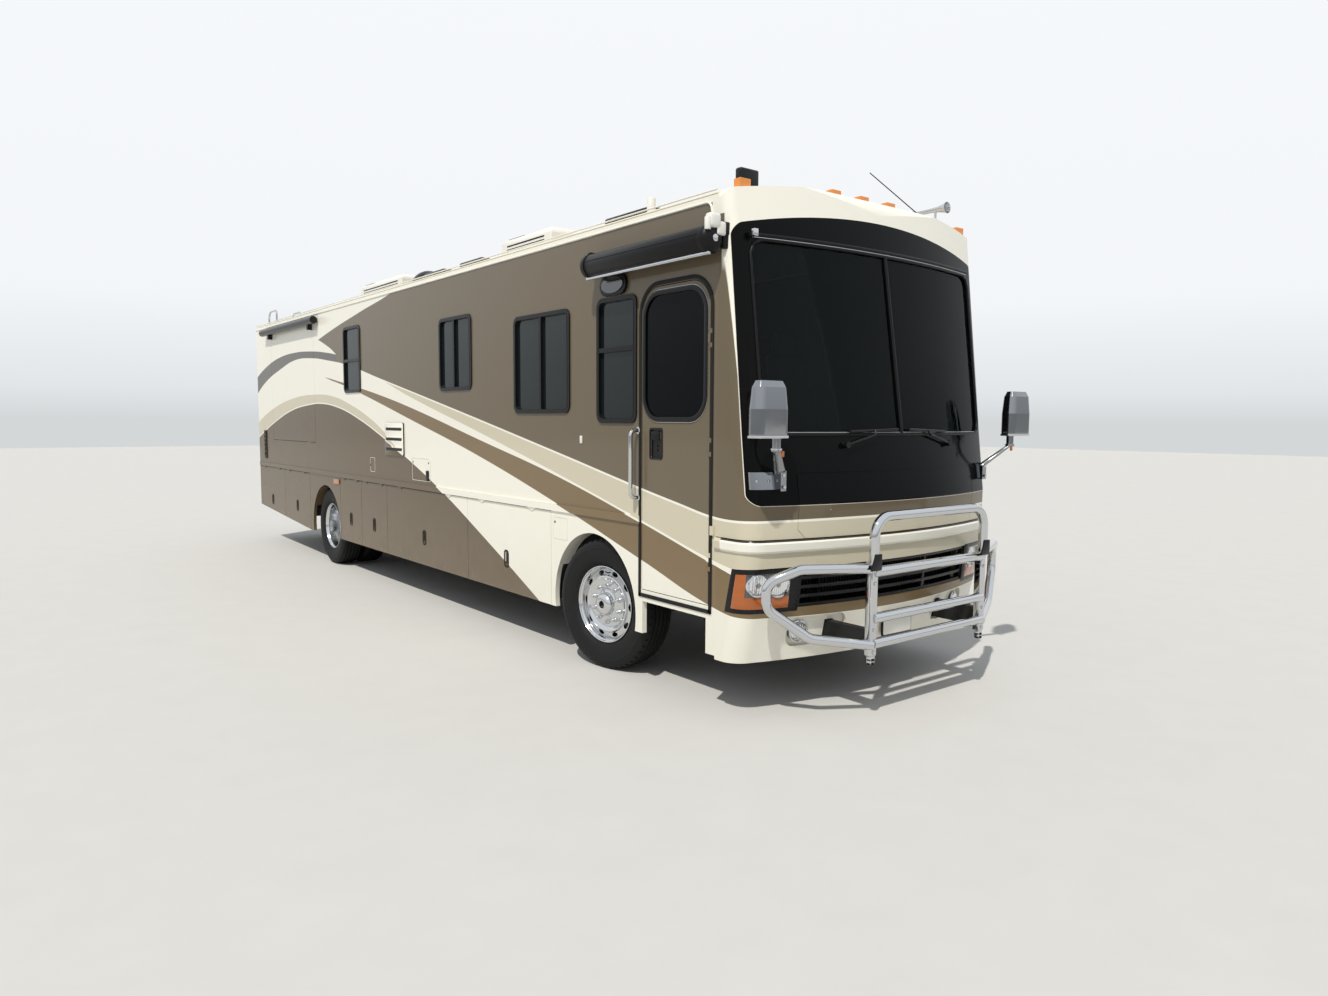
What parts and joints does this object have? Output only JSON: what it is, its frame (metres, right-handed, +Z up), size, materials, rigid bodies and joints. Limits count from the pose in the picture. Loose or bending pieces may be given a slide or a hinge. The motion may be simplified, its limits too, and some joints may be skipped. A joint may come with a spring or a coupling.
{
  "type": "class a motorhome",
  "caption": "Full-size diesel coach motorhome with slide-out rooms, baggage doors, entry door and folding step, brush guard and steered front wheels.",
  "frame": {"origin": "on the ground, below the middle of the whole vehicle", "axes": "+Z up, the vehicle drives towards -Y, its entry door side faces -X"},
  "size_m": [2.956, 12.003, 4.0018],
  "materials": {
    "cream_paint": "gloss",
    "frame_paint": "satin",
    "cast_part": "rough",
    "polished_alloy": "polished",
    "tyre_rubber": "matt",
    "bright_chrome": "polished",
    "tinted_glass": "clear tint",
    "black_moulding": "gloss",
    "amber_lens": "gloss",
    "red_lens": "gloss",
    "clear_lens": "gloss",
    "cab_trim": "grained",
    "seat_cover": "woven",
    "mirror_face": "mirror",
    "white_shell": "gloss",
    "tray_sheet": "satin"
  },
  "bodies": {
    "coach": {"frame_rails": "frame_paint", "front_axle": "cast_part", "rear_axle": "cast_part", "engine_block": "cast_part", "basement_trays": "tray_sheet", "cabin_floor": "cab_trim", "side_wall_right": "cream_paint", "side_wall_left": "cream_paint", "roof_panel": "cream_paint", "front_cap": "cream_paint", "front_bumper": "cream_paint", "front_grille": "black_moulding", "rear_cap": "cream_paint", "tail_lamps": "red_lens", "body_glass": "tinted_glass", "window_frames": "black_moulding", "rub_rails": "white_shell", "door_awning": "black_moulding", "clear_lamps": "clear_lens", "amber_lamps": "amber_lens", "brush_guard": "bright_chrome", "mirrors": "bright_chrome", "mirror_glass": "mirror_face", "wipers": "black_moulding", "roof_air_units": "white_shell", "roof_vents": "black_moulding", "roof_horns": "bright_chrome", "ladder_and_handle": "bright_chrome", "dashboard": "cab_trim", "cab_seats": "seat_cover"},
    "knuckle_right": {"knuckle_right": "cast_part"},
    "front_wheel_right": {"front_rim_right": "polished_alloy", "front_tyre_right": "tyre_rubber"},
    "rear_wheel_right": {"rear_rims_right": "polished_alloy", "rear_tyres_right": "tyre_rubber"},
    "slide_room_right": {"slide_out_right": "cream_paint", "slide_awning_right": "black_moulding"},
    "knuckle_left": {"knuckle_left": "cast_part"},
    "front_wheel_left": {"front_rim_left": "polished_alloy", "front_tyre_left": "tyre_rubber"},
    "rear_wheel_left": {"rear_rims_left": "polished_alloy", "rear_tyres_left": "tyre_rubber"},
    "slide_room_left": {"slide_out_left": "cream_paint", "slide_awning_left": "black_moulding"},
    "tie_rod": {"tie_rod": "cast_part"},
    "entry_door": {"entry_door": "cream_paint", "entry_door_glass": "tinted_glass"},
    "step_arms": {"step_arms": "frame_paint"},
    "step_tread": {"step_tread": "frame_paint"},
    "engine_lid": {"engine_lid": "cream_paint"},
    "steering_wheel": {"steering_wheel": "cab_trim"},
    "baggage_door_right_1": {"baggage_door_right_1": "cream_paint"},
    "baggage_door_right_2": {"baggage_door_right_2": "cream_paint"},
    "baggage_door_right_3": {"baggage_door_right_3": "cream_paint"},
    "baggage_door_right_4": {"baggage_door_right_4": "cream_paint"},
    "baggage_door_right_5": {"baggage_door_right_5": "cream_paint"},
    "baggage_door_right_6": {"baggage_door_right_6": "cream_paint"},
    "baggage_door_left_1": {"baggage_door_left_1": "cream_paint"},
    "baggage_door_left_2": {"baggage_door_left_2": "cream_paint"},
    "baggage_door_left_3": {"baggage_door_left_3": "cream_paint"}
  },
  "joints": [
    {"name": "steer_right", "type": "hinge", "parent": "coach", "child": "knuckle_right", "pos_m": [-0.98, -3.85, 0.503], "axis": [0, 0, 1], "range_deg": [-47, 29]},
    {"name": "steer_left", "type": "hinge", "parent": "coach", "child": "knuckle_left", "pos_m": [0.98, -3.85, 0.503], "axis": [0, 0, 1], "range_deg": [-47, 29]},
    {"name": "tie_rod_pivot", "type": "hinge", "parent": "knuckle_right", "child": "tie_rod", "pos_m": [-1.00972, -3.66234, 0.356], "axis": [0, 0, 1], "range_deg": [-29, 47]},
    {"name": "steering_wheel_turn", "type": "hinge", "parent": "coach", "child": "steering_wheel", "pos_m": [0.62, -4.86, 1.84], "axis": [0, 0.5736, 0.8192], "range_deg": [-752, 464]},
    {"name": "front_wheel_spin_right", "type": "hinge", "parent": "knuckle_right", "child": "front_wheel_right", "pos_m": [-1.13408, -3.8744, 0.503], "axis": [0.9877, 0.1564, 0], "continuous": true},
    {"name": "rear_wheel_spin_right", "type": "hinge", "parent": "coach", "child": "rear_wheel_right", "pos_m": [-1.107, 2.55, 0.503], "axis": [1, 0, 0], "continuous": true},
    {"name": "front_wheel_spin_left", "type": "hinge", "parent": "knuckle_left", "child": "front_wheel_left", "pos_m": [1.13408, -3.8256, 0.503], "axis": [0.9877, 0.1564, 0], "continuous": true},
    {"name": "rear_wheel_spin_left", "type": "hinge", "parent": "coach", "child": "rear_wheel_left", "pos_m": [1.107, 2.55, 0.503], "axis": [1, 0, 0], "continuous": true},
    {"name": "entry_door_swing", "type": "hinge", "parent": "coach", "child": "entry_door", "pos_m": [-1.301, -5.172, 1.7], "axis": [0, 0, 1], "range_deg": [0, 100]},
    {"name": "step_fold", "type": "hinge", "parent": "coach", "child": "step_arms", "pos_m": [-1.06, -4.8, 0.64], "axis": [0, 1, 0], "range_deg": [0, 150]},
    {"name": "step_tread_level", "type": "hinge", "parent": "step_arms", "child": "step_tread", "pos_m": [-0.81, -4.8, 0.64], "axis": [0, 1, 0], "range_deg": [-150, 0]},
    {"name": "slide_room_right_move", "type": "slide", "parent": "coach", "child": "slide_room_right", "axis": [-1, 0, 0], "range_m": [0, 0.6]},
    {"name": "slide_room_left_move", "type": "slide", "parent": "coach", "child": "slide_room_left", "axis": [1, 0, 0], "range_m": [0, 0.65]},
    {"name": "engine_lid_swing", "type": "hinge", "parent": "coach", "child": "engine_lid", "pos_m": [0, 5.855, 1.377], "axis": [1, 0, 0], "range_deg": [0, 80]},
    {"name": "baggage_door_right_1_lift", "type": "hinge", "parent": "coach", "child": "baggage_door_right_1", "pos_m": [-1.301, -2.413, 1.174], "axis": [0, 1, 0], "range_deg": [0, 90]},
    {"name": "baggage_door_right_2_lift", "type": "hinge", "parent": "coach", "child": "baggage_door_right_2", "pos_m": [-1.301, -0.61, 1.174], "axis": [0, 1, 0], "range_deg": [0, 90]},
    {"name": "baggage_door_right_3_lift", "type": "hinge", "parent": "coach", "child": "baggage_door_right_3", "pos_m": [-1.301, 0.83, 1.174], "axis": [0, 1, 0], "range_deg": [0, 90]},
    {"name": "baggage_door_right_4_lift", "type": "hinge", "parent": "coach", "child": "baggage_door_right_4", "pos_m": [-1.301, 1.62, 1.174], "axis": [0, 1, 0], "range_deg": [0, 90]},
    {"name": "baggage_door_right_5_lift", "type": "hinge", "parent": "coach", "child": "baggage_door_right_5", "pos_m": [-1.301, 3.855, 1.174], "axis": [0, 1, 0], "range_deg": [0, 90]},
    {"name": "baggage_door_right_6_lift", "type": "hinge", "parent": "coach", "child": "baggage_door_right_6", "pos_m": [-1.301, 5.1235, 1.174], "axis": [0, 1, 0], "range_deg": [0, 90]},
    {"name": "baggage_door_left_1_lift", "type": "hinge", "parent": "coach", "child": "baggage_door_left_1", "pos_m": [1.301, -2.413, 1.174], "axis": [0, -1, 0], "range_deg": [0, 90]},
    {"name": "baggage_door_left_2_lift", "type": "hinge", "parent": "coach", "child": "baggage_door_left_2", "pos_m": [1.301, 0.18, 1.174], "axis": [0, -1, 0], "range_deg": [0, 90]},
    {"name": "baggage_door_left_3_lift", "type": "hinge", "parent": "coach", "child": "baggage_door_left_3", "pos_m": [1.301, 4.5185, 1.174], "axis": [0, -1, 0], "range_deg": [0, 90]}
  ],
  "couplings": [
    {"joint": "steer_left", "follows": "steer_right", "ratio": 1},
    {"joint": "tie_rod_pivot", "follows": "steer_right", "ratio": -1},
    {"joint": "steering_wheel_turn", "follows": "steer_right", "ratio": 16},
    {"joint": "step_tread_level", "follows": "step_fold", "ratio": -1}
  ]
}
